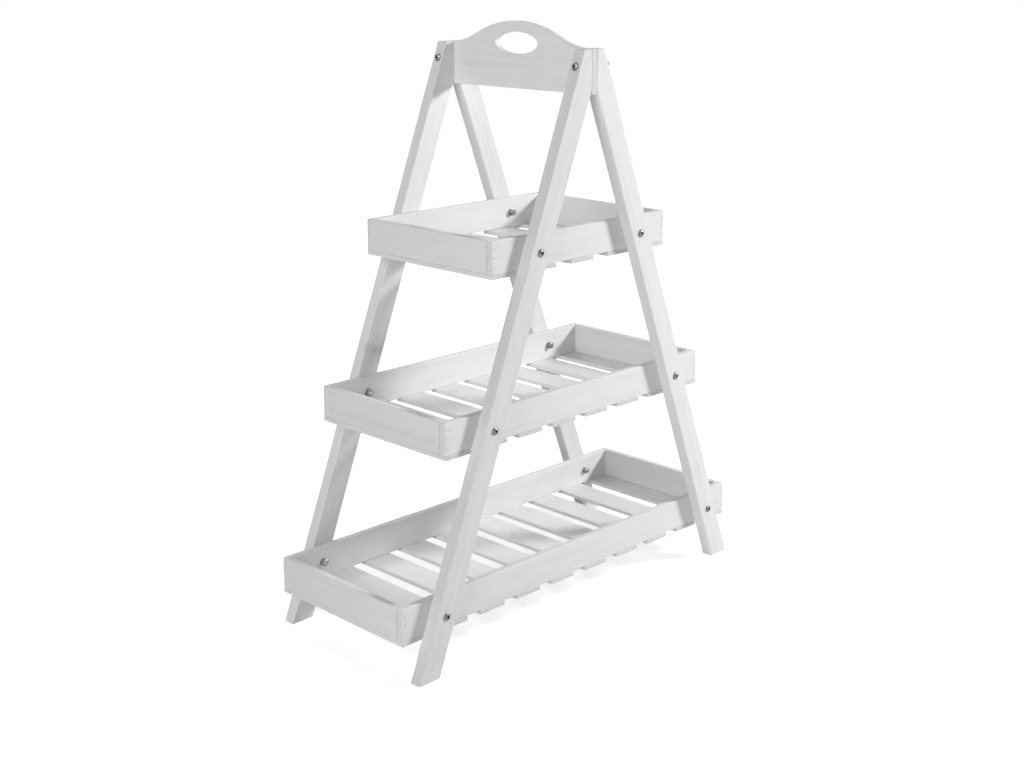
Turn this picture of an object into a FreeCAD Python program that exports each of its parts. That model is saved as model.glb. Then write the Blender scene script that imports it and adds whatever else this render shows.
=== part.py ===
import FreeCAD, Part
import math
import os

# A free-standing plant stand of softwood: two A-frames of sloping legs, with three slatted trays
# bolted between them and a handle plate clamped between the legs at the top.
# Millimetres. X runs across the stand, Y from front to back and Z up from the floor.
# The origin is on the floor, midway between the four feet.

# A-frames
foot_span = 559.0          # over both feet of a frame, at the floor
top_span = 34.6            # over both legs of a frame, at their tops
leg_top_z = 687.0          # level cut at the top of the legs
leg_width = 29.0           # across the wide face of a leg
leg_thickness = 15.5
frame_depth = 245.0        # over the outer faces of the front and back legs
leg_ease = 1.0             # flats planed on the edges of the legs

# Trays
bottom_length = 580.0
middle_length = 446.0
top_length = 300.0
bottom_rim_z = 90.3        # top edge of the bottom tray's boards
middle_rim_z = 288.8
top_rim_z = 482.0
board_height = 38.8
board_thickness = 9.0
board_ease = 1.0           # flats planed on the edges of the boards
slat_width = 40.0
slat_thickness = 5.3
slat_ease = 0.7            # flats planed on the long edges of the slats
bottom_slats = 10
middle_slats = 8
top_slats = 5

# Handle plate
plate_thickness = 7.6
plate_drop = 52.0          # from the tops of the legs down to its lower edge
crest_rise = 28.0          # from the tops of the legs up to its crest
crest_run = 62.0           # from its middle to where the crest's arc ends
slope_length = 14.0        # straight stretch between the crest's arc and the flare's arc
shoulder = 6.5             # level stretch at each end, flush with the legs
hand_hole_length = 70.0
hand_hole_height = 26.0
hand_hole_drop = 26.0      # from the crest down to the hole's centre
plate_ease = 1.0           # flats on the edges of the plate and of its hole
seat_gap = 1.2             # the right legs stand this far off the plate at the tops of the legs

# Bolts, with their washers and nuts
bolt_diameter = 5.0
head_diameter = 9.5
head_height = 2.75
head_rim = 0.6             # upright rim under the dome of the head
crown_diameter = 4.4       # level top of the head, round its socket
round_sides = 12           # bolts, washers and their holes are drawn with this many flat sides
socket_flats = 3.0         # hexagon socket, across its flats
socket_depth = 1.6
washer_diameter = 10.0
washer_thickness = 1.0
nut_flats = 8.0
nut_height = 4.0
bolt_tip = 0.5             # how far the shank stands out of the nut
wood_clearance = 0.25      # round the shank, in the wood
washer_clearance = 0.15    # round the shank, in a washer
thread_clearance = 0.05    # round the shank, in a nut
seat_clearance = 0.3       # round a head or washer, where it bites into a sloping leg
handle_bolt_drop = 19.0    # from the tops of the legs down to the handle bolts

# Nails
nail_width = 2.0
nail_thickness = 1.2
nail_sink = 0.4            # how far the nails are driven below the surface
corner_nail_length = 25.0
corner_nail_first = 9.5    # from a tray's rim down to the first nail of a corner
corner_nail_pitch = 10.5
corner_nails = 3
corner_nail_wander = 1.0   # how far hand-driven nails stray up and down
wander_step = 3.0          # from one nail to the next along the stray's wave, in radians
slat_nail_length = 18.0
slat_nail_spread = 24.0    # between the two nails at each end of a slat

# The most of a thin wall that one eased edge takes
ease_share = 0.3

# Sizes that follow from the ones above
lean = (foot_span - top_span) / 2 / leg_top_z
leg_run = leg_width * math.hypot(1.0, lean)
tray_half_depth = frame_depth / 2 - leg_thickness
inner_half_depth = tray_half_depth - board_thickness
leg_middle_y = frame_depth / 2 - leg_thickness / 2
handle_bolt_z = leg_top_z - handle_bolt_drop
wood_hole_radius = bolt_diameter / 2 + wood_clearance
x_axis = FreeCAD.Vector(1, 0, 0)
y_axis = FreeCAD.Vector(0, 1, 0)
z_axis = FreeCAD.Vector(0, 0, 1)

trays = [
    ("bottom", bottom_length, bottom_rim_z, bottom_slats),
    ("middle", middle_length, middle_rim_z, middle_slats),
    ("top", top_length, top_rim_z, top_slats),
]


def outer_x(z):
    # Distance from the middle to the outer edge of a leg at height z.
    return foot_span / 2 - lean * z


def tray_bolt_place(rim_z):
    # Distance from the middle, and height: on the leg's centre line, halfway up the boards.
    z = rim_z - board_height / 2
    return outer_x(z) - leg_run / 2, z


def block(low, high):
    size = [top - bottom for bottom, top in zip(low, high)]
    return Part.makeBox(*size, FreeCAD.Vector(*low))


def eased(solid, edges, flat, wall):
    # Takes the sharp edges off, less where a thin wall needs it.
    return solid.makeChamfer(min(flat, wall * ease_share), edges)


def polygon_face(corners):
    return Part.Face(Part.makePolygon(corners + corners[:1]))


def turned(profile, sides=round_sides):
    # A piece round the Z axis with flat sides, which lie at each radius and height of the profile.
    rings = []
    for radius, z in profile:
        corner_radius = radius / math.cos(math.pi / sides)
        ring = []
        for number in range(sides):
            angle = 2 * math.pi * number / sides
            ring.append(FreeCAD.Vector(corner_radius * math.cos(angle), corner_radius * math.sin(angle), z))
        rings.append(ring)
    faces = [polygon_face(rings[0]), polygon_face(rings[-1])]
    for lower, upper in zip(rings, rings[1:]):
        for number in range(sides):
            faces.append(polygon_face([lower[number - 1], lower[number], upper[number], upper[number - 1]]))
    return Part.Solid(Part.Shell(faces)).removeSplitter()


def placed(solid, seat, outward):
    # Points a piece made along +Z outward, with its base on the seat.
    moved = solid.copy()
    moved.Placement = FreeCAD.Placement(seat, FreeCAD.Rotation(z_axis, outward))
    return moved


def drill(start, end, radius):
    # What a drill takes away from start to end.
    run = end - start
    return placed(turned([(radius, 0), (radius, run.Length)]), start, run)


def leg(side, end, gap, bite_radius):
    # side is -1 for left and 1 for right, end is -1 for front and 1 for back. The gap is between the top
    # of the leg and the handle plate, and the bite is the flat seat for the head or washer of its bolt.
    seat_x = plate_thickness / 2
    seat_z = (foot_span / 2 - leg_run - seat_x) / lean
    outline = [
        (foot_span / 2, 0.0),
        (top_span / 2, leg_top_z),
        (seat_x + gap, leg_top_z),
        (seat_x, seat_z),
        (foot_span / 2 - leg_run, 0.0),
    ]
    face_y = end * leg_middle_y - leg_thickness / 2
    corners = [FreeCAD.Vector(side * x, face_y, z) for x, z in outline]
    solid = polygon_face(corners).extrude(y_axis * leg_thickness)
    solid = eased(solid, solid.Edges, leg_ease, top_span / 2 - seat_x - gap)
    for rim_z in (bottom_rim_z, middle_rim_z, top_rim_z):
        x, z = tray_bolt_place(rim_z)
        start = FreeCAD.Vector(side * x, end * tray_half_depth, z)
        solid = solid.cut(drill(start, start + y_axis * (end * leg_thickness), wood_hole_radius))
    middle = FreeCAD.Vector(0, end * leg_middle_y, handle_bolt_z)
    seat = middle + x_axis * (side * outer_x(handle_bolt_z))
    solid = solid.cut(drill(middle, seat, wood_hole_radius))
    return solid.cut(drill(seat, seat + x_axis * (side * leg_width), bite_radius))


def handle_plate():
    # The upper edge runs from the level shoulders through a hollow flare, a short straight and a round
    # crest. The slope of the straight follows from the rise and the run.
    run = frame_depth / 2 - shoulder
    slope = 2 * math.atan(crest_rise / (run + slope_length))
    crest_radius = crest_run / math.sin(slope)
    flare_radius = (run - slope_length * math.cos(slope) - crest_run) / math.sin(slope)
    crest_z = leg_top_z + crest_rise

    def crest_point(angle):
        return crest_radius * math.sin(angle), crest_z - crest_radius * (1 - math.cos(angle))

    def flare_point(angle):
        return run - flare_radius * math.sin(angle), leg_top_z + flare_radius * (1 - math.cos(angle))

    def at(point, side=1):
        return FreeCAD.Vector(0, side * point[0], point[1])

    bottom_z = leg_top_z - plate_drop
    edges = [Part.Arc(at(crest_point(slope), -1), at(crest_point(0)), at(crest_point(slope)))]
    for side in (-1, 1):
        edges.append(Part.LineSegment(at(crest_point(slope), side), at(flare_point(slope), side)))
        edges.append(Part.Arc(at(flare_point(slope), side), at(flare_point(slope / 2), side),
                              at(flare_point(0), side)))
        edges.append(Part.LineSegment(at(flare_point(0), side), at((frame_depth / 2, leg_top_z), side)))
        edges.append(Part.LineSegment(at((frame_depth / 2, leg_top_z), side),
                                      at((frame_depth / 2, bottom_z), side)))
    edges.append(Part.LineSegment(at((frame_depth / 2, bottom_z), -1), at((frame_depth / 2, bottom_z))))
    outline = Part.Wire(Part.sortEdges([edge.toShape() for edge in edges])[0])

    hole_centre = FreeCAD.Vector(0, 0, crest_z - hand_hole_drop)
    long_end = hole_centre + y_axis * (hand_hole_length / 2)
    top_end = hole_centre + z_axis * (hand_hole_height / 2)
    hole = Part.Wire(Part.Ellipse(long_end, top_end, hole_centre).toShape())

    face = Part.Face(outline).cut(Part.Face(hole)).Faces[0]
    half = x_axis * (plate_thickness / 2)
    solid = face.extrude(half * 2)
    solid.translate(-half)
    rims = [edge for edge in solid.Edges if edge.BoundBox.XLength < plate_thickness / 2]
    solid = eased(solid, rims, plate_ease, plate_thickness)
    for end in (-1, 1):
        middle = FreeCAD.Vector(0, end * leg_middle_y, handle_bolt_z)
        solid = solid.cut(drill(middle - half, middle + half, wood_hole_radius))
    return solid


def nail(length, tip, outward, wide):
    # A headless nail of oblong section, from its tip outward along one axis and wide along another.
    across = wide * (nail_width / 2)
    through = outward.cross(wide) * (nail_thickness / 2)
    corners = [tip - across - through, tip + across - through, tip + across + through, tip - across + through]
    return polygon_face(corners).extrude(outward * length)


def corner_nail_set(length, rim_z):
    # Tips and directions of the nails through the ends of the long boards into the end boards.
    nails = []
    x = length / 2 - board_thickness / 2
    for side in (-1, 1):
        for end in (-1, 1):
            for row in range(corner_nails):
                stray = corner_nail_wander * math.sin(len(nails) * wander_step)
                z = rim_z - corner_nail_first - corner_nail_pitch * row + stray
                tip_y = tray_half_depth - nail_sink - corner_nail_length
                tip = FreeCAD.Vector(side * x, end * tip_y, z)
                nails.append((tip, y_axis * end, z_axis))
    return nails


def slat_centres(length, slat_count):
    # Slats spread evenly, with the first and last flush with the ends of the tray.
    pitch = (length - slat_width) / (slat_count - 1)
    return [-length / 2 + slat_width / 2 + pitch * number for number in range(slat_count)]


def slat_nail_set(length, rim_z, slat_count):
    # Tips and directions of the nails up through the slats into the long boards.
    nails = []
    tip_z = rim_z - board_height - slat_thickness + nail_sink + slat_nail_length
    y = tray_half_depth - board_thickness / 2
    for centre in slat_centres(length, slat_count):
        for side in (-1, 1):
            for end in (-1, 1):
                tip = FreeCAD.Vector(centre + side * slat_nail_spread / 2, end * y, tip_z)
                nails.append((tip, -z_axis, x_axis))
    return nails


def nails_and_pockets(nail_set, length):
    # The nails, and the same shapes run on to the surface they were driven into.
    nails = [nail(length, *place) for place in nail_set]
    pockets = [nail(length + nail_sink, *place) for place in nail_set]
    return Part.Compound(nails), Part.Compound(pockets)


def bolt(grip):
    # The underside of the head is at the origin, the dome above it and the shank below.
    shank_radius = bolt_diameter / 2
    rim_radius = head_diameter / 2
    crown_radius = crown_diameter / 2
    dome = head_height - head_rim
    dome_radius = (rim_radius ** 2 + dome ** 2) / (2 * dome)
    profile = [(shank_radius, -(grip + washer_thickness + nut_height + bolt_tip)), (shank_radius, 0)]
    profile.append((rim_radius, 0))
    for radius in (rim_radius, (rim_radius + crown_radius) / 2, crown_radius):
        profile.append((radius, head_height - dome_radius + math.sqrt(dome_radius ** 2 - radius ** 2)))
    crown_z = profile[-1][1]
    socket = turned([(socket_flats / 2, crown_z - socket_depth), (socket_flats / 2, head_height)], 6)
    return turned(profile).cut(socket)


def pierced(radius, hole_radius, thickness, sides=round_sides):
    # A flat ring, such as a washer or a nut.
    ring = turned([(radius, 0), (radius, thickness)], sides)
    return ring.cut(turned([(hole_radius, 0), (hole_radius, thickness)]))


def fastener_set(heads, directions, grip):
    # Bolts with their heads seated at the given points, and the washers and nuts at the other end of the
    # grip. Each direction is the way that a head points.
    washer = pierced(washer_diameter / 2, bolt_diameter / 2 + washer_clearance, washer_thickness)
    nut = pierced(nut_flats / 2, bolt_diameter / 2 + thread_clearance, nut_height, 6)
    bolts = []
    washers = []
    nuts = []
    for head, outward in zip(heads, directions):
        far_side = head - outward * grip
        bolts.append(placed(bolt(grip), head, outward))
        washers.append(placed(washer, far_side, -outward))
        nuts.append(placed(nut, far_side - outward * washer_thickness, -outward))
    return Part.Compound(bolts), Part.Compound(washers), Part.Compound(nuts)


def long_board(length, rim_z, end, pockets):
    low_y = min(end * inner_half_depth, end * tray_half_depth)
    low = (-length / 2, low_y, rim_z - board_height)
    solid = block(low, (length / 2, low_y + board_thickness, rim_z))
    solid = eased(solid, solid.Edges, board_ease, board_thickness)
    x, z = tray_bolt_place(rim_z)
    for side in (-1, 1):
        start = FreeCAD.Vector(side * x, end * inner_half_depth, z)
        solid = solid.cut(drill(start, start + y_axis * (end * board_thickness), wood_hole_radius))
    return solid.cut(pockets)


def end_board(length, rim_z, side, pockets):
    low_x = min(side * length / 2, side * (length / 2 - board_thickness))
    low = (low_x, -inner_half_depth, rim_z - board_height)
    solid = block(low, (low_x + board_thickness, inner_half_depth, rim_z))
    long_edges = [edge for edge in solid.Edges if edge.BoundBox.YLength > inner_half_depth]
    return eased(solid, long_edges, board_ease, board_thickness).cut(pockets)


def slat(centre, rim_z, pockets):
    top_z = rim_z - board_height
    low = (centre - slat_width / 2, -tray_half_depth, top_z - slat_thickness)
    solid = block(low, (centre + slat_width / 2, tray_half_depth, top_z))
    long_edges = [edge for edge in solid.Edges if edge.BoundBox.YLength > tray_half_depth]
    return eased(solid, long_edges, slat_ease, slat_thickness).cut(pockets)


parts = {}

head_bite = head_diameter / 2 + seat_clearance
washer_bite = washer_diameter / 2 + seat_clearance
for end_name, end in (("front", -1), ("back", 1)):
    parts[end_name + "_left_leg"] = leg(-1, end, 0.0, head_bite)
    parts[end_name + "_right_leg"] = leg(1, end, seat_gap, washer_bite)

parts["handle_plate"] = handle_plate()
handle_heads = [FreeCAD.Vector(-outer_x(handle_bolt_z), end * leg_middle_y, handle_bolt_z) for end in (-1, 1)]
handle_fasteners = fastener_set(handle_heads, [-x_axis, -x_axis], 2 * outer_x(handle_bolt_z))
for kind, solids in zip(("bolts", "washers", "nuts"), handle_fasteners):
    parts["handle_" + kind] = solids

for name, length, rim_z, slat_count in trays:
    corner_solids, corner_pockets = nails_and_pockets(corner_nail_set(length, rim_z), corner_nail_length)
    slat_solids, slat_pockets = nails_and_pockets(slat_nail_set(length, rim_z, slat_count), slat_nail_length)
    for end_name, end in (("front", -1), ("back", 1)):
        pockets = [corner_pockets, slat_pockets]
        parts[name + "_tray_" + end_name + "_board"] = long_board(length, rim_z, end, pockets)
    for side_name, side in (("left", -1), ("right", 1)):
        parts[name + "_tray_" + side_name + "_end"] = end_board(length, rim_z, side, corner_pockets)
    for number, centre in enumerate(slat_centres(length, slat_count), 1):
        parts["%s_slat_%02d" % (name, number)] = slat(centre, rim_z, slat_pockets)

    bolt_x, bolt_z = tray_bolt_place(rim_z)
    heads = []
    directions = []
    for end in (-1, 1):
        for side in (-1, 1):
            heads.append(FreeCAD.Vector(side * bolt_x, end * frame_depth / 2, bolt_z))
            directions.append(y_axis * end)
    fasteners = fastener_set(heads, directions, leg_thickness + board_thickness)
    for kind, solids in zip(("bolts", "washers", "nuts"), fasteners):
        parts[name + "_tray_" + kind] = solids
    parts[name + "_tray_corner_nails"] = corner_solids
    parts[name + "_tray_slat_nails"] = slat_solids

os.makedirs("parts", exist_ok=True)
for name, shape in parts.items():
    shape.exportStep("parts/" + name + ".step")
print(len(parts), "pieces or sets of pieces written")
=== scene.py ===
import math
import random

import bmesh
import bpy
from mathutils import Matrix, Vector


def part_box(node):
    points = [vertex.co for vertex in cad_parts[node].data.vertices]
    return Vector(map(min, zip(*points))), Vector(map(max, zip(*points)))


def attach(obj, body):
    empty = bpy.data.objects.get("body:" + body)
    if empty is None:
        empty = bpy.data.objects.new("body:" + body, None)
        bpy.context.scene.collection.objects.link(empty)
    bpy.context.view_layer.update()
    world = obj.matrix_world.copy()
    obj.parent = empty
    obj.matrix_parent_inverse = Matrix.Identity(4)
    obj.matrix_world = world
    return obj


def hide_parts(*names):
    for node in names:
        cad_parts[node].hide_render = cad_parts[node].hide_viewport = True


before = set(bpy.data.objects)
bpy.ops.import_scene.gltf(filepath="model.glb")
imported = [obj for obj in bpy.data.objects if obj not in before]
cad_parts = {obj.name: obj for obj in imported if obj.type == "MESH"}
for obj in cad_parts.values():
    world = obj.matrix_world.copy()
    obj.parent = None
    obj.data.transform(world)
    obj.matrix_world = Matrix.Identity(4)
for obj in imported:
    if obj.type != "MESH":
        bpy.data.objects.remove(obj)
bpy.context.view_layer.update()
print("frame loaded:", len(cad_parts), "nodes")

# Everything is in metres on the stand's own axes: X across it, Y from front to back, Z up.
xAxis = Vector((1, 0, 0))
yAxis = Vector((0, 1, 0))
zAxis = Vector((0, 0, 1))

# The camera stands off the stand's front left corner, a little higher than its top.
cameraSet = {
    "place": (-1.2975, -1.2740, 0.7908),
    "heading": 45.297,                  # degrees from +Y towards +X
    "dip": 12.199,                      # degrees below level
    "lens": 53.06,
    "sensor": 36.0,
    "shift": -0.1,
}


def makeCamera():
    data = bpy.data.cameras.new("camera")
    data.sensor_width = cameraSet["sensor"]
    data.lens = cameraSet["lens"]
    data.shift_y = cameraSet["shift"]
    camera = bpy.data.objects.new("camera", data)
    camera.location = cameraSet["place"]
    camera.rotation_euler = (math.radians(90 - cameraSet["dip"]), 0, math.radians(-cameraSet["heading"]))
    bpy.context.scene.collection.objects.link(camera)
    bpy.context.scene.camera = camera


makeCamera()
print("camera set")


roundSet = {
    "steps": 6,                         # facets round each rounded edge
    "endTurn": 86,                      # degrees round an end: a little short of its flat cap
}


def boxAround(points):
    columns = list(zip(*points))
    return Vector(map(min, columns)), Vector(map(max, columns))


def skinRings(mesh, rings, looped=False):
    # Joins rings of as many points each with quads, and closes both ends unless the rings go round.
    corners = [[mesh.verts.new(point) for point in ring] for ring in rings]
    pairs = list(zip(corners, corners[1:]))
    if looped:
        pairs.append((corners[-1], corners[0]))
    else:
        mesh.faces.new(reversed(corners[0]))
        mesh.faces.new(corners[-1])
    for lower, upper in pairs:
        for number in range(len(lower)):
            mesh.faces.new((lower[number - 1], lower[number], upper[number], upper[number - 1]))


def roundedRing(centre, across, through, inset, radius):
    # A rectangle with rounded corners, drawn in by the inset. Across and through are half its sides.
    steps = roundSet["steps"]
    corner = radius - inset
    halfWidth = across.length - inset - corner
    halfDepth = through.length - inset - corner
    points = []
    for quarter, (signX, signY) in enumerate(((1, 1), (-1, 1), (-1, -1), (1, -1))):
        for step in range(steps + 1):
            angle = math.pi / 2 * (quarter + step / steps)
            x = signX * halfWidth + corner * math.cos(angle)
            y = signY * halfDepth + corner * math.sin(angle)
            points.append(centre + across.normalized() * x + through.normalized() * y)
    return points


def endStations(length, radius):
    # Places along a length, each with how far the section is drawn in there, to round its two ends.
    steps = roundSet["steps"]
    head = []
    for step in range(steps, -1, -1):
        angle = math.radians(roundSet["endTurn"]) * step / steps
        head.append((radius * (1 - math.sin(angle)), radius * (1 - math.cos(angle))))
    tail = [(length - place, inset) for place, inset in reversed(head)]
    return head, tail


def turnedRings(centre, outward, profile, sides):
    # Rings round an axis. The profile gives heights, each with a radius or with a function of the angle.
    turn = zAxis.rotation_difference(outward).to_matrix()
    rings = []
    for height, radius in profile:
        ring = []
        for number in range(sides):
            angle = 2 * math.pi * number / sides
            reach = radius(angle) if callable(radius) else radius
            point = Vector((reach * math.cos(angle), reach * math.sin(angle), height))
            ring.append(centre + turn @ point)
        rings.append(ring)
    return rings


def meshObject(name, mesh):
    bmesh.ops.recalc_face_normals(mesh, faces=mesh.faces)
    data = bpy.data.meshes.new(name)
    mesh.to_mesh(data)
    mesh.free()
    made = bpy.data.objects.new(name, data)
    bpy.context.scene.collection.objects.link(made)
    return made


def workIn(made):
    # Works a piece's modifiers into its mesh.
    graph = bpy.context.evaluated_depsgraph_get()
    data = bpy.data.meshes.new_from_object(made.evaluated_get(graph))
    made.modifiers.clear()
    made.data = data
    data.name = made.name


def shadeBevels(made, sharpAngle):
    # Rounded edges look smooth, and the faces between them stay flat.
    made.data.shade_smooth()
    made.data.set_sharp_from_angle(angle=math.radians(sharpAngle))
    weighted = made.modifiers.new("flatFaces", "WEIGHTED_NORMAL")
    weighted.keep_sharp = True
    workIn(made)


weldDistance = 1e-6


def solidBoxes(node):
    # The lowest and the highest corner of each separate solid in a node.
    mesh = bmesh.new()
    mesh.from_mesh(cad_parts[node].data)
    bmesh.ops.remove_doubles(mesh, verts=mesh.verts, dist=weldDistance)
    waiting = set(mesh.verts)
    boxes = []
    while waiting:
        reached = [waiting.pop()]
        for vert in reached:
            for edge in vert.link_edges:
                other = edge.other_vert(vert)
                if other in waiting:
                    waiting.remove(other)
                    reached.append(other)
        boxes.append(boxAround(vert.co for vert in reached))
    mesh.free()
    return sorted(boxes, key=lambda box: tuple(box[0]))


def seatPiece(made, material, node):
    # Gives a piece its finish and lets it stand for the node that it was made from.
    made.data.materials.clear()
    made.data.materials.append(material)
    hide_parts(node)
    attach(made, "root")


def newMaterial(name):
    material = bpy.data.materials.new(name)
    material.use_nodes = True
    tree = material.node_tree
    return material, tree, tree.nodes["Principled BSDF"]


def addNode(tree, kind, inputs, **settings):
    # A node with its settings; each input is a number, a colour or another node's output.
    node = tree.nodes.new(kind)
    for name, value in settings.items():
        setattr(node, name, value)
    for socket, value in inputs.items():
        if isinstance(value, bpy.types.NodeSocket):
            tree.links.new(value, node.inputs[socket])
        else:
            node.inputs[socket].default_value = value
    return node


def multiplied(tree, first, second):
    return addNode(tree, "ShaderNodeMath", {0: first, 1: second}, operation="MULTIPLY").outputs[0]


def added(tree, first, second):
    return addNode(tree, "ShaderNodeMath", {0: first, 1: second}, operation="ADD").outputs[0]


def ranged(tree, value, low, high, newLow=0.0, newHigh=1.0):
    inputs = {"Value": value, "From Min": low, "From Max": high, "To Min": newLow, "To Max": newHigh}
    return addNode(tree, "ShaderNodeMapRange", inputs, clamp=True).outputs[0]


def scaled(tree, place, scale):
    return addNode(tree, "ShaderNodeVectorMath", {0: place, 1: scale}, operation="MULTIPLY").outputs[0]


def attribute(tree, name, output="Fac"):
    return addNode(tree, "ShaderNodeAttribute", {}, attribute_name=name).outputs[output]


def pattern(tree, place, look):
    # Noise, with as many lumps to the metre along three axes as its scale says. Where only a band of it
    # counts, that band is spread from 0 to 1.
    inputs = {"Vector": scaled(tree, place, look["scale"]), "Scale": 1.0, "Detail": look["detail"]}
    value = addNode(tree, "ShaderNodeTexNoise", inputs).outputs["Fac"]
    return ranged(tree, value, *look["band"]) if "band" in look else value


def toned(tree, colour):
    # Makes a colour as bright as the tone that is stored with the mesh says.
    inputs = {0: colour, "Scale": attribute(tree, "tone")}
    return addNode(tree, "ShaderNodeVectorMath", inputs, operation="SCALE").outputs[0]


def mixed(tree, share, first, second):
    inputs = {0: share, 6: first, 7: second}
    return addNode(tree, "ShaderNodeMix", inputs, data_type="RGBA").outputs[2]


def bumped(tree, shader, height, depth):
    bump = addNode(tree, "ShaderNodeBump", {"Height": height, "Distance": depth})
    tree.links.new(bump.outputs[0], shader.inputs["Normal"])


woodSet = {
    "wash": (0.805, 0.805, 0.800, 1.0),     # the white wash where it lies thick
    "bare": (0.50, 0.49, 0.47, 1.0),        # what shows where it is thin
    "knot": (0.40, 0.38, 0.35, 1.0),
    "endGrain": (0.60, 0.595, 0.58, 1.0),   # sawn ends drink the wash
    # painted highlight along the rounded edges
    "edge": (0.88, 0.88, 0.875, 1.0),
    "ringSpacing": 0.0040,
    "ringSway": 0.016,                      # how far the rings wander along a piece
    "ringShare": 0.13,
    "ringStart": (0.25, 0.85),              # where the dark late wood of a ring sets in
    "ringStop": (0.88, 1.0),
    "sway": {"scale": (2.5, 34.0, 34.0), "detail": 2.0},
    "bared": {"scale": (6.0, 38.0, 38.0), "detail": 3.0, "band": (0.44, 0.70)},
    "streaks": {"scale": (3.0, 130.0, 130.0), "detail": 4.0, "band": (0.36, 0.72), "share": 0.14},
    "mottles": {"scale": (26.0, 60.0, 60.0), "detail": 3.0, "band": (0.34, 0.68), "share": 0.07},
    "fibres": {"scale": (40.0, 1500.0, 1500.0), "detail": 2.0, "band": (0.36, 0.70), "share": 0.08},
    "specks": {"scale": (700.0, 700.0, 700.0), "detail": 3.0, "band": (0.30, 0.62)},
    "knotSpread": (3.0, 5.0, 0.0),          # knots to the metre along a piece and across it
    "knotEdge": (0.014, 0.034),
    "knotRags": {"scale": (160.0, 220.0, 220.0), "detail": 2.0, "share": 0.016},
    "knotShare": 0.30,
    "edgeHighlightShare": 0.22,                     # how much a painted highlight lightens the rounded edges
    "roughness": (0.66, 0.54),              # thick wash, thin wash
    "thinnest": 0.5,
    "specular": 0.35,
    "fibreRelief": -0.6,
    "ringRelief": -0.3,
    "grainDepth": 0.00012,
    "toneSpread": 0.010,                    # how far pieces differ in brightness
    # Given tones, fitted piece by piece: partly the wash's own brightness, partly painted light that
    # brightens pieces sitting in shade, such as the bottom back board, the back left leg and the middle
    # tray's right end.
    "tones": {
        "front_left_leg": 0.94, "front_right_leg": 0.99, "back_left_leg": 1.04,
        "handle_plate": 1.06, "bottom_tray_back_board": 1.04,
        "middle_tray_left_end": 0.96, "middle_tray_right_end": 1.08,
    },
}


def washedWood():
    material, tree, shader = newMaterial("whiteWashedWood")
    place = attribute(tree, "grainPlace", "Vector")

    # Growth rings round the heart of the tree, which lies off to one side of each piece. They wander,
    # and the wash hides them in most places.
    section = scaled(tree, place, (0.0, 1.0, 1.0))
    heart = addNode(tree, "ShaderNodeVectorMath", {0: section}, operation="LENGTH").outputs["Value"]
    sway = multiplied(tree, pattern(tree, place, woodSet["sway"]), woodSet["ringSway"])
    count = multiplied(tree, added(tree, heart, sway), 1 / woodSet["ringSpacing"])
    age = addNode(tree, "ShaderNodeMath", {0: count}, operation="FRACT").outputs[0]
    late = multiplied(tree, ranged(tree, age, *woodSet["ringStart"]),
                      ranged(tree, age, *woodSet["ringStop"], 1.0, 0.0))
    bared = pattern(tree, place, woodSet["bared"])

    # The wash lies in streaks along the grain and in soft mottles, and fine fibres show in it.
    fibres = pattern(tree, place, woodSet["fibres"])
    thin = multiplied(tree, multiplied(tree, late, bared), woodSet["ringShare"])
    for name in ("streaks", "mottles"):
        look = woodSet[name]
        thin = added(tree, thin, multiplied(tree, pattern(tree, place, look), look["share"]))
    thin = added(tree, thin, multiplied(tree, fibres, woodSet["fibres"]["share"]))

    # Here and there a branch crosses a piece and leaves a faint knot.
    branches = {"Vector": scaled(tree, place, woodSet["knotSpread"]), "Scale": 1.0}
    apart = addNode(tree, "ShaderNodeTexVoronoi", branches, voronoi_dimensions="2D").outputs["Distance"]
    rags = multiplied(tree, pattern(tree, place, woodSet["knotRags"]), woodSet["knotRags"]["share"])
    knot = ranged(tree, added(tree, apart, rags), *woodSet["knotEdge"], 1.0, 0.0)
    colour = mixed(tree, multiplied(tree, knot, woodSet["knotShare"]),
                   mixed(tree, thin, woodSet["wash"], woodSet["bare"]), woodSet["knot"])

    # A painted highlight lightens the rounded edges, and the wash sinks into the sawn ends in specks.
    arris = attribute(tree, "arris")
    colour = mixed(tree, multiplied(tree, arris, woodSet["edgeHighlightShare"]), colour, woodSet["edge"])
    specks = multiplied(tree, attribute(tree, "sawn"), pattern(tree, place, woodSet["specks"]))
    colour = mixed(tree, specks, colour, woodSet["endGrain"])

    tree.links.new(toned(tree, colour), shader.inputs["Base Color"])
    roughness = ranged(tree, thin, 0.0, woodSet["thinnest"], *woodSet["roughness"])
    tree.links.new(roughness, shader.inputs["Roughness"])
    shader.inputs["Specular IOR Level"].default_value = woodSet["specular"]
    relief = added(tree, multiplied(tree, fibres, woodSet["fibreRelief"]),
                   multiplied(tree, late, woodSet["ringRelief"]))
    bumped(tree, shader, relief, woodSet["grainDepth"])
    return material


steelSet = {
    # The steel's colours are darker than bare zinc plate: painted reflection of a dark surrounding.
    "light": (0.30, 0.30, 0.30, 1.0),
    "dark": (0.17, 0.17, 0.17, 1.0),
    "blotches": {"scale": (450.0, 450.0, 450.0), "detail": 3.0, "band": (0.35, 0.65)},
    "roughness": (0.15, 0.28),              # light steel, dark steel
    "scratches": {"scale": (900.0, 5200.0, 2600.0), "detail": 2.0},
    "scratchDepth": 0.00002,
    # Bolts darker, washers and nuts lighter, though all are the same steel: painted reflection.
    "tones": {"bolts": 0.80, "washers": 1.6, "nuts": 1.7},
    "paintedSocketShade": 0.12,                     # painted shade in the hexagon sockets
    "socketReach": 0.6,                     # how far out from the axis, as a share of the socket's flats
    "socketTop": 0.0001,                    # how far below the crown it begins
    "tipTone": 2.0,                         # brighter steel at the bolts' tips
    "tipReach": 0.005,
}


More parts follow.
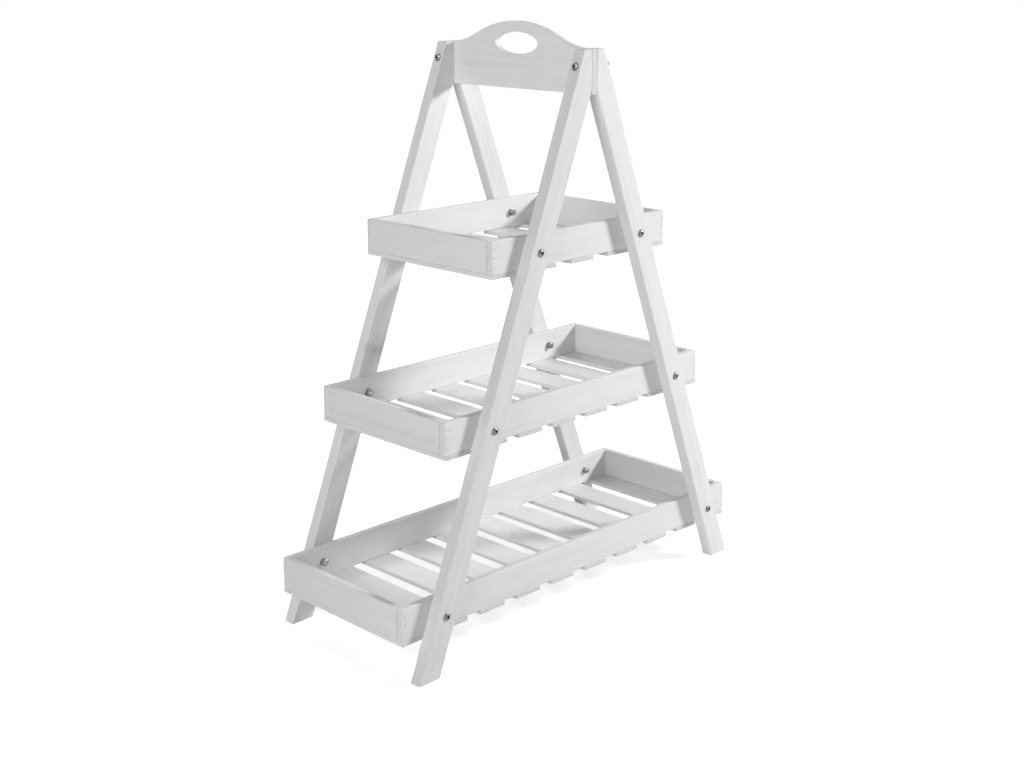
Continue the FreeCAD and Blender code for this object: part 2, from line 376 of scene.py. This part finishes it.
def zincSteel():
    material, tree, shader = newMaterial("zincSteel")
    shader.inputs["Metallic"].default_value = 1.0
    place = addNode(tree, "ShaderNodeTexCoord", {}).outputs["Object"]
    blotches = pattern(tree, place, steelSet["blotches"])
    colour = mixed(tree, blotches, steelSet["light"], steelSet["dark"])
    tree.links.new(toned(tree, colour), shader.inputs["Base Color"])
    tree.links.new(ranged(tree, blotches, 0.0, 1.0, *steelSet["roughness"]), shader.inputs["Roughness"])
    bumped(tree, shader, pattern(tree, place, steelSet["scratches"]), steelSet["scratchDepth"])
    return material


nailSet = {
    "light": (0.30, 0.30, 0.30, 1.0),
    "dark": (0.12, 0.12, 0.13, 1.0),
    "tarnish": {"scale": (1500.0, 1500.0, 1500.0), "detail": 2.0, "band": (0.35, 0.65)},
    "roughness": 0.45,
    "rounding": 0.0002,
}


def nailSteel():
    material, tree, shader = newMaterial("nailSteel")
    shader.inputs["Metallic"].default_value = 1.0
    shader.inputs["Roughness"].default_value = nailSet["roughness"]
    place = addNode(tree, "ShaderNodeTexCoord", {}).outputs["Object"]
    colour = mixed(tree, pattern(tree, place, nailSet["tarnish"]), nailSet["light"], nailSet["dark"])
    tree.links.new(colour, shader.inputs["Base Color"])
    return material


woodFinish = washedWood()
steelFinish = zincSteel()
nailFinish = nailSteel()
print("finishes made")

holeSet = {
    "sides": 40,
    "boltRadius": 0.00275,
    "headSeat": 0.00505,                # flat seats that the handle bolts bite into the sloping legs
    "washerSeat": 0.0053,
    "seatRun": 0.03,                    # how far the cutters of these seats run on outward
    "overrun": 0.003,                   # how far a cutter runs on past the wood
    "pastMiddle": 0.006,                # how far it runs on past the middle of the handle plate
}


def sign(number):
    return 1 if number > 0 else -1


def drill(start, end, radius):
    outward = (end - start).normalized()
    profile = [(0.0, radius), ((end - start).length, radius)]
    return turnedRings(start, outward, profile, holeSet["sides"])


def nailPocket(low, high, outward):
    # The space of a nail, run on outward through the face that it was driven into.
    axis = [abs(part) for part in outward].index(1.0)
    others = [number for number in range(3) if number != axis]
    tip, head = (low, high) if outward[axis] > 0 else (high, low)
    rings = []
    for place in (tip[axis], head[axis] + outward[axis] * holeSet["overrun"]):
        ring = []
        for first, second in ((low, low), (high, low), (high, high), (low, high)):
            point = Vector()
            point[axis] = place
            point[others[0]] = first[others[0]]
            point[others[1]] = second[others[1]]
            ring.append(point)
        rings.append(ring)
    return rings


def layOutCuts():
    # Every hole and pocket in the wood, from the places of the bolts, washers and nails.
    cuts = []
    for tray in trays:
        for low, high in solidBoxes(tray + "_tray_bolts"):
            middle = (low + high) / 2
            reach = yAxis * (high.y - low.y)
            cuts.append(drill(middle - reach, middle + reach, holeSet["boltRadius"]))
        for low, high in solidBoxes(tray + "_tray_corner_nails"):
            cuts.append(nailPocket(low, high, yAxis * sign(low.y)))
        for low, high in solidBoxes(tray + "_tray_slat_nails"):
            cuts.append(nailPocket(low, high, -zAxis))
    for low, high in solidBoxes("handle_washers"):
        middle = (low + high) / 2
        middle.x = 0
        for side, seatRadius in ((-1, holeSet["headSeat"]), (1, holeSet["washerSeat"])):
            seat = middle + xAxis * (side * low.x)
            start = middle - xAxis * (side * holeSet["pastMiddle"])
            cuts.append(drill(start, seat, holeSet["boltRadius"]))
            cuts.append(drill(seat, seat + xAxis * (side * holeSet["seatRun"]), seatRadius))
    return cuts


def cutWood(made, cuts):
    # Takes out of a piece each hole and pocket that reaches into its box.
    low, high = boxAround(vert.co for vert in made.data.vertices)
    mesh = bmesh.new()
    for rings in cuts:
        cutLow, cutHigh = boxAround(point for ring in rings for point in ring)
        if all(cutLow[axis] < high[axis] and cutHigh[axis] > low[axis] for axis in range(3)):
            skinRings(mesh, rings)
    cutter = meshObject("cutter", mesh)
    boolean = made.modifiers.new("cut", "BOOLEAN")
    boolean.operation = "DIFFERENCE"
    boolean.solver = "EXACT"
    boolean.use_self = True
    boolean.object = cutter
    workIn(made)
    bpy.data.objects.remove(cutter)


timberSet = {
    "sharpAngle": 18,
    "heartNear": 0.018,                 # the heart of the tree lies this far from a piece's middle
    "heartFar": 0.070,
    "trunk": 40,                        # the pieces come from anywhere along so many metres of timber
    "sawnFacing": 0.8,                  # how squarely a sawn end faces along the grain
    "endShare": 0.7,                    # how far out along a piece its ends begin
    "seed": 7,
}
dice = random.Random(timberSet["seed"])


def markArrises(made, *axes):
    # Stores for each point how far it lies round an edge: 0 on a flat face and 1 midway round.
    straight = math.cos(math.radians(45))
    arrises = made.data.attributes.new("arris", "FLOAT", "POINT")
    for vert, arris in zip(made.data.vertices, arrises.data):
        facing = max(abs(vert.normal.dot(axis)) for axis in axes)
        arris.value = min(1, (1 - facing) / (1 - straight))


def layGrain(made, along, across, through):
    # Stores each point's place in the tree: along the trunk, and across it in two directions.
    angle = dice.uniform(0, 2 * math.pi)
    distance = dice.uniform(timberSet["heartNear"], timberSet["heartFar"])
    start = dice.uniform(0, timberSet["trunk"])
    low, high = boxAround(vert.co for vert in made.data.vertices)
    middle = (low + high) / 2
    places = made.data.attributes.new("grainPlace", "FLOAT_VECTOR", "POINT")
    for vert, place in zip(made.data.vertices, places.data):
        offset = vert.co - middle
        place.vector = (offset.dot(along) + start,
                        offset.dot(across) + distance * math.cos(angle),
                        offset.dot(through) + distance * math.sin(angle))


def markEnds(made, along, share):
    # Stores for each face how far the wash sank in, where the saw cut the piece off across the grain.
    places = [vert.co.dot(along) for vert in made.data.vertices]
    middle = (min(places) + max(places)) / 2
    reach = (max(places) - middle) * timberSet["endShare"]
    ends = made.data.attributes.new("sawn", "FLOAT", "FACE")
    for face, sawn in zip(made.data.polygons, ends.data):
        square = abs(face.normal.dot(along)) > timberSet["sawnFacing"]
        sawn.value = share if square and abs(face.center.dot(along) - middle) > reach else 0.0


def layTone(made, node):
    # Stores a piece's own brightness, so that no two are quite as bright; some given tones are painted
    # light for pieces that sit in shade.
    spread = woodSet["toneSpread"]
    tone = woodSet["tones"].get(node, dice.uniform(1 - spread, 1 + spread))
    tones = made.data.attributes.new("tone", "FLOAT", "POINT")
    for point in tones.data:
        point.value = tone


def makeTimber(node, rings, cuts, along, across, sawnShare=1.0):
    through = along.cross(across)
    mesh = bmesh.new()
    skinRings(mesh, rings)
    made = meshObject(node + ".wood", mesh)
    markArrises(made, along, across, through)
    cutWood(made, cuts)
    shadeBevels(made, timberSet["sharpAngle"])
    layGrain(made, along, across, through)
    markEnds(made, along, sawnShare)
    layTone(made, node)
    seatPiece(made, woodFinish, node)


def straightRings(low, high, axis, radius, endRadius):
    # A straight board in a box, with its long edges and the edges of its ends rounded.
    halfSides = [Vector(), Vector(), Vector()]
    for number in range(3):
        halfSides[number][number] = (high[number] - low[number]) / 2
    across, through = sorted((side for side in halfSides if side != halfSides[axis]),
                             key=lambda side: side.length, reverse=True)
    along = halfSides[axis].normalized()
    start = (low + high) / 2 - halfSides[axis]
    head, tail = endStations(high[axis] - low[axis], endRadius)
    rings = []
    for place, inset in head + tail:
        rings.append(roundedRing(start + along * place, across, through, inset, radius))
    return rings, along, across.normalized()


legSet = {
    "width": 0.029,
    "topHalfSpan": 0.0173,              # from the middle to a leg's outer edge, at its top
    "gap": {-1: 0.0, 1: 0.0012},        # between leg and plate at the leg's top, left and right
    "rounding": 0.0013,
}


def makeLeg(node, side, cuts):
    low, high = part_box(node)
    footX = max(abs(low.x), abs(high.x))
    seatX = min(abs(low.x), abs(high.x))
    lean = (footX - legSet["topHalfSpan"]) / high.z
    run = legSet["width"] * math.hypot(1, lean)
    seatZ = (footX - run - seatX) / lean
    head, tail = endStations(high.z, legSet["rounding"])
    rings = []
    for z, inset in head + [(seatZ, 0.0)] + tail:
        outer = footX - lean * z
        opened = max(0, z - seatZ) / (high.z - seatZ) * legSet["gap"][side]
        inner = max(outer - run, seatX + opened)
        centre = Vector((side * (outer + inner) / 2, (low.y + high.y) / 2, z))
        across = xAxis * (outer - inner) / 2
        through = yAxis * (high.y - low.y) / 2
        rings.append(roundedRing(centre, across, through, inset, legSet["rounding"]))
    along = Vector((-side * lean, 0, 1)).normalized()
    makeTimber(node, rings, cuts, along, yAxis)


plateSet = {
    "crestRun": 0.062,                  # from the middle to where the crest's arc ends
    "slopeLength": 0.014,               # straight stretch between the crest's arc and the flare's arc
    "shoulder": 0.0065,                 # level stretch at each end
    "holeLength": 0.070,
    "holeHeight": 0.026,
    "holeDrop": 0.026,                  # from the crest down to the hole's centre
    "rounding": 0.0014,
    "endRounding": 0.0005,
    "sawnShare": 1.5,                   # its ends come out darker than the other pieces' ends
    "holeRounding": 0.0010,
    "holeTurn": 80,                     # degrees round the edge of the hole
    "holeFlare": 1.1,                   # how far its cutter opens out beyond that edge, in roundings
    "stations": 96,
    "holeSides": 96,
}


def plateTop(y, half, legTop, crest):
    # The height of the plate's upper edge: a round crest, a short slope, a hollow flare and a level end.
    run = half - plateSet["shoulder"]
    slope = 2 * math.atan((crest - legTop) / (run + plateSet["slopeLength"]))
    slopeRun = plateSet["slopeLength"] * math.cos(slope)
    crestRadius = plateSet["crestRun"] / math.sin(slope)
    flareRadius = (run - slopeRun - plateSet["crestRun"]) / math.sin(slope)
    y = abs(y)
    if y < plateSet["crestRun"]:
        return crest - crestRadius + math.sqrt(crestRadius ** 2 - y ** 2)
    if y < plateSet["crestRun"] + slopeRun:
        return crest - crestRadius * (1 - math.cos(slope)) - (y - plateSet["crestRun"]) * math.tan(slope)
    if y < run:
        return legTop + flareRadius - math.sqrt(flareRadius ** 2 - (run - y) ** 2)
    return legTop


def handHole(centre, halfThickness):
    # An oval that opens out in a round edge on both faces of the plate.
    radius = plateSet["holeRounding"]
    steps = roundSet["steps"]
    flared = []
    for step in range(steps + 1):
        angle = math.radians(plateSet["holeTurn"]) * step / steps
        x = halfThickness - radius + radius * math.sin(angle)
        flared.append((x, radius * (1 - math.cos(angle))))
    flared.append((halfThickness + holeSet["overrun"], radius * plateSet["holeFlare"]))
    rings = []
    for x, growth in [(-x, growth) for x, growth in reversed(flared)] + flared:
        ring = []
        for number in range(plateSet["holeSides"]):
            angle = 2 * math.pi * number / plateSet["holeSides"]
            y = (plateSet["holeLength"] / 2 + growth) * math.cos(angle)
            z = (plateSet["holeHeight"] / 2 + growth) * math.sin(angle)
            ring.append(centre + Vector((x, y, z)))
        rings.append(ring)
    return rings


def makePlate(cuts):
    low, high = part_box("handle_plate")
    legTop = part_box("front_left_leg")[1].z
    half = high.y
    head, tail = endStations(2 * half, plateSet["endRounding"])
    between = []
    for number in range(1, plateSet["stations"]):
        between.append((2 * half * number / plateSet["stations"], 0.0))
    rings = []
    for place, inset in head + between + tail:
        top = plateTop(place - half, half, legTop, high.z)
        centre = Vector((0, place - half, (low.z + top) / 2))
        across = zAxis * (top - low.z) / 2
        through = xAxis * high.x
        rings.append(roundedRing(centre, across, through, inset, plateSet["rounding"]))
    hole = handHole(Vector((0, 0, high.z - plateSet["holeDrop"])), high.x)
    makeTimber("handle_plate", rings, cuts + [hole], yAxis, zAxis, plateSet["sawnShare"])


trays = {"bottom": 10, "middle": 8, "top": 5}       # with the number of slats in each

boardSet = {
    "rounding": 0.0014,
    "longEnds": 0.0014,                 # rounding of the sawn ends
    "shortEnds": 0.0003,
    "slatRounding": 0.0011,
    "slatEnds": 0.0007,
    "longSawn": 0.35,                   # the wash is thick over the corners' sawn ends
}


def makeTray(tray, cuts):
    longBoard = (0, boardSet["rounding"], boardSet["longEnds"], boardSet["longSawn"])
    shortBoard = (1, boardSet["rounding"], boardSet["shortEnds"], 1.0)
    slat = (1, boardSet["slatRounding"], boardSet["slatEnds"], 1.0)
    pieces = [(tray + "_tray_front_board", longBoard), (tray + "_tray_back_board", longBoard),
              (tray + "_tray_left_end", shortBoard), (tray + "_tray_right_end", shortBoard)]
    for number in range(1, trays[tray] + 1):
        pieces.append(("%s_slat_%02d" % (tray, number), slat))
    for node, (axis, radius, endRadius, sawnShare) in pieces:
        rings, along, across = straightRings(*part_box(node), axis, radius, endRadius)
        makeTimber(node, rings, cuts, along, across, sawnShare)


boltSet = {
    "sides": 48,
    "headRadius": 0.00475,
    "headHeight": 0.00275,
    "rim": 0.0006,                      # upright rim under the dome
    "rimSteps": ((0.0, 0.96), (0.00012, 0.99), (0.00028, 1.0)),     # heights, shares of the radius
    "domeSteps": 9,
    "crownRadius": 0.0022,
    "socketFlats": 0.003,
    "socketEdge": 0.62,                 # the socket's rim, as a share of its flats
    "socketChamfer": 0.00012,
    "socketDepth": 0.0016,
    "socketFloor": (0.0004, 0.08),      # the drill's cone under it: how deep, and its share of the flats
    "shankRadius": 0.0025,
    "tipShares": (0.72, 0.86),          # of the shank's radius, at the tip and above its chamfer
    "tipChamfer": 0.00025,
    "threadPitch": 0.0008,
    "threadDepth": 0.0003,
    "threadLength": 0.0036,             # threaded stretch drawn at the tip
    "threadSteps": 24,
    "threadEnd": 0.0005,                # where the thread runs out into the plain shank
    "sharpAngle": 32,
}

nutSet = {
    "flats": 0.008,
    "height": 0.004,
    "hole": 0.00255,
    "lead": 0.0004,                     # chamfer of the hole
    "faceShare": 0.95,                  # width of the turned round faces, as a share of the flats
    "chamfer": 60,                      # degrees
    "stations": (0.0, 0.05, 0.1, 0.15, 0.2, 0.8, 0.85, 0.9, 0.95, 1.0),     # shares of height
}

washerSet = {"radius": 0.005, "hole": 0.00265, "height": 0.001, "rounding": 0.00015}


def hexagon(flats):
    # The radius of a hexagon at an angle, from its size across the flats.
    return lambda angle: flats / 2 / math.cos(angle % (math.pi / 3) - math.pi / 6)


def threadRadius(height):
    # The radius of a helical thread at an angle.
    def radius(angle):
        turn = (height / boltSet["threadPitch"] + angle / (2 * math.pi)) % 1
        return boltSet["shankRadius"] - boltSet["threadDepth"] * abs(2 * turn - 1)
    return radius


def domeHeight(radius):
    # How high the dome of a bolt's head stands at a distance from its axis.
    dome = boltSet["headHeight"] - boltSet["rim"]
    domeRadius = (boltSet["headRadius"] ** 2 + dome ** 2) / (2 * dome)
    return boltSet["headHeight"] - domeRadius + math.sqrt(domeRadius ** 2 - radius ** 2)


def boltRings(seat, tip, outward):
    # From the tip, up the shank and over the dome, down into the hexagon socket.
    start = -(seat - tip).length
    shank = boltSet["shankRadius"]
    chamfer = boltSet["tipChamfer"]
    tipShare, edgeShare = boltSet["tipShares"]
    profile = [(start, shank * tipShare), (start + chamfer, shank * edgeShare)]
    steps = boltSet["threadSteps"]
    for step in range(1, steps + 1):
        height = start + chamfer + boltSet["threadLength"] * step / steps
        profile.append((height, threadRadius(height)))
    profile.append((start + boltSet["threadEnd"] + boltSet["threadLength"], shank))
    profile.append((0.0, shank))
    head = boltSet["headRadius"]
    for height, share in boltSet["rimSteps"]:
        profile.append((height, head * share))
    steps = boltSet["domeSteps"]
    for step in range(steps + 1):
        radius = head + (boltSet["crownRadius"] - head) * step / steps
        profile.append((domeHeight(radius), radius))
    crown = profile[-1][0]
    floor = crown - boltSet["socketDepth"]
    flats = boltSet["socketFlats"]
    coneDepth, coneShare = boltSet["socketFloor"]
    profile.append((crown, flats * boltSet["socketEdge"]))
    profile.append((crown - boltSet["socketChamfer"], hexagon(flats)))
    profile.append((floor, hexagon(flats)))
    profile.append((floor - coneDepth, flats * coneShare))
    return turnedRings(seat, outward, profile, boltSet["sides"])


def chamferedHexagon(height):
    # A nut's outline at a height: a hexagon whose corners a cone takes off near both faces.
    fromFace = min(height, nutSet["height"] - height)
    taper = math.tan(math.radians(nutSet["chamfer"]))
    cone = nutSet["flats"] / 2 * nutSet["faceShare"] + fromFace * taper
    reach = hexagon(nutSet["flats"])
    return lambda angle: min(cone, reach(angle))


def nutRings(seat, outward):
    height = nutSet["height"]
    lead = nutSet["lead"]
    profile = [(0.0, nutSet["hole"] + lead)]
    for share in nutSet["stations"]:
        profile.append((height * share, chamferedHexagon(height * share)))
    profile.append((height, nutSet["hole"] + lead))
    profile.append((height - lead, nutSet["hole"]))
    profile.append((lead, nutSet["hole"]))
    return turnedRings(seat, outward, profile, boltSet["sides"])


def washerRings(seat, outward):
    rounding = washerSet["rounding"]
    height = washerSet["height"]
    profile = []
    for radius, turn in ((washerSet["radius"], -1), (washerSet["hole"], 1)):
        corners = [(0.0, rounding), (rounding, 0.0), (height - rounding, 0.0), (height, rounding)]
        for place, inset in corners[::-turn]:
            profile.append((place, radius + turn * inset))
    return turnedRings(seat, outward, profile, boltSet["sides"])


def layShine(made, kind, seats):
    # Stores how bright the steel is at each point: painted shade in a bolt's socket, a brighter tip, and
    # each kind's own brightness, which is painted reflection.
    reach = boltSet["socketFlats"] * steelSet["socketReach"]
    tones = made.data.attributes.new("tone", "FLOAT", "POINT")
    for vert, tone in zip(made.data.vertices, tones.data):
        tone.value = steelSet["tones"][kind]
        if kind == "bolts":
            middle, outward, halfLength = min(seats, key=lambda seat: (vert.co - seat[0]).length)
            height = (vert.co - middle).dot(outward)
            offAxis = (vert.co - middle - outward * height).length
            # Inside the socket the steel is darkened: painted shade.
            if offAxis < reach and 0 < height < halfLength - steelSet["socketTop"]:
                tone.value = steelSet["paintedSocketShade"]
            elif height < -halfLength + steelSet["tipReach"]:
                tone.value = steelSet["tipTone"]


def makeFasteners(group, outwardAt):
    # A set of bolts, with the washers and nuts that the bolts go through.
    crown = domeHeight(boltSet["crownRadius"])
    for kind in ("bolts", "washers", "nuts"):
        mesh = bmesh.new()
        seats = []
        for low, high in solidBoxes(group + "_" + kind):
            middle = (low + high) / 2
            outward = outwardAt(middle)
            halfLength = abs((high - low).dot(outward)) / 2
            seats.append((middle, outward, halfLength))
            top = middle + outward * halfLength
            if kind == "bolts":
                seat = middle + outward * (halfLength - crown)
                skinRings(mesh, boltRings(seat, middle - outward * halfLength, outward))
            elif kind == "washers":
                skinRings(mesh, washerRings(top, -outward), looped=True)
            else:
                skinRings(mesh, nutRings(top, -outward), looped=True)
        made = meshObject(group + "." + kind, mesh)
        shadeBevels(made, boltSet["sharpAngle"])
        layShine(made, kind, seats)
        seatPiece(made, steelFinish, group + "_" + kind)


def makeNails(node):
    rounding = nailSet["rounding"]
    mesh = bmesh.new()
    for low, high in solidBoxes(node):
        axis = max(range(3), key=lambda number: high[number] - low[number])
        skinRings(mesh, straightRings(low, high, axis, rounding, rounding)[0])
    made = meshObject(node + ".steel", mesh)
    shadeBevels(made, boltSet["sharpAngle"])
    seatPiece(made, nailFinish, node)


cuts = layOutCuts()
for endName in ("front", "back"):
    for sideName, side in (("left", -1), ("right", 1)):
        makeLeg("%s_%s_leg" % (endName, sideName), side, cuts)
makePlate(cuts)
print("legs and handle plate made")
for tray in trays:
    makeTray(tray, cuts)
    makeFasteners(tray + "_tray", lambda place: yAxis * sign(place.y))
    makeNails(tray + "_tray_corner_nails")
    makeNails(tray + "_tray_slat_nails")
    print(tray, "tray made")
makeFasteners("handle", lambda place: -xAxis)
print("fasteners made")

white = (1.0, 1.0, 1.0, 1.0)

studioSet = {
    "floorSize": 8.0,
    "floorDrop": 0.0002,                # keeps the floor clear of the legs' soles
    "floorColour": (0.86, 0.86, 0.86, 1.0),
    "floorRoughness": 0.9,
    "floorGlow": (0.60, 1.0),           # what the camera sees added to the floor: near by, far off
    "glowReach": (0.5, 1.9),            # where near by ends and far off begins
    "ambient": 0.05,                    # light from all round
    "background": 1.0,
}

lampSet = {
    "key": {"place": (1.72, -1.30, 1.36), "size": 0.42, "power": 53.0},
    "left": {"place": (-2.30, -0.68, 1.18), "size": 1.6, "power": 33.0},
    "back": {"place": (0.26, 1.83, 2.16), "size": 1.6, "power": 18.0},
}
lampTarget = Vector((0.0, 0.0, 0.33))


def seenDirectly(tree):
    # 1 for what the camera sees, itself or in a mirror or through glass, and 0 for light on surfaces.
    path = addNode(tree, "ShaderNodeLightPath", {})
    seen = path.outputs["Is Camera Ray"]
    for kind in ("Is Glossy Ray", "Is Transmission Ray"):
        inputs = {0: seen, 1: path.outputs[kind]}
        seen = addNode(tree, "ShaderNodeMath", inputs, operation="MAXIMUM").outputs[0]
    return seen


def makeStudio():
    half = studioSet["floorSize"] / 2
    mesh = bmesh.new()
    corners = []
    for x, y in ((-half, -half), (half, -half), (half, half), (-half, half)):
        corners.append(mesh.verts.new((x, y, -studioSet["floorDrop"])))
    mesh.faces.new(corners)
    floor = meshObject("floor", mesh)
    material, tree, shader = newMaterial("paleFloor")
    shader.inputs["Base Color"].default_value = studioSet["floorColour"]
    shader.inputs["Roughness"].default_value = studioSet["floorRoughness"]
    shader.inputs["Specular IOR Level"].default_value = 0.0
    shader.inputs["Emission Color"].default_value = white
    place = addNode(tree, "ShaderNodeTexCoord", {}).outputs["Object"]
    apart = addNode(tree, "ShaderNodeVectorMath", {0: place}, operation="LENGTH").outputs["Value"]
    glow = ranged(tree, apart, *studioSet["glowReach"], *studioSet["floorGlow"])
    tree.links.new(multiplied(tree, seenDirectly(tree), glow), shader.inputs["Emission Strength"])
    floor.data.materials.append(material)

    world = bpy.data.worlds.new("studio")
    world.use_nodes = True
    tree = world.node_tree
    strength = ranged(tree, seenDirectly(tree), 0.0, 1.0, studioSet["ambient"], studioSet["background"])
    tree.nodes["Background"].inputs["Color"].default_value = white
    tree.links.new(strength, tree.nodes["Background"].inputs["Strength"])
    bpy.context.scene.world = world

    for name, lamp in lampSet.items():
        data = bpy.data.lights.new(name, "AREA")
        data.shape = "DISK"
        data.size = lamp["size"]
        data.energy = lamp["power"]
        light = bpy.data.objects.new(name, data)
        light.location = lamp["place"]
        light.rotation_euler = (light.location - lampTarget).to_track_quat("Z", "Y").to_euler()
        bpy.context.scene.collection.objects.link(light)
    bpy.context.scene.view_settings.view_transform = "Standard"


makeStudio()
print("studio lit")
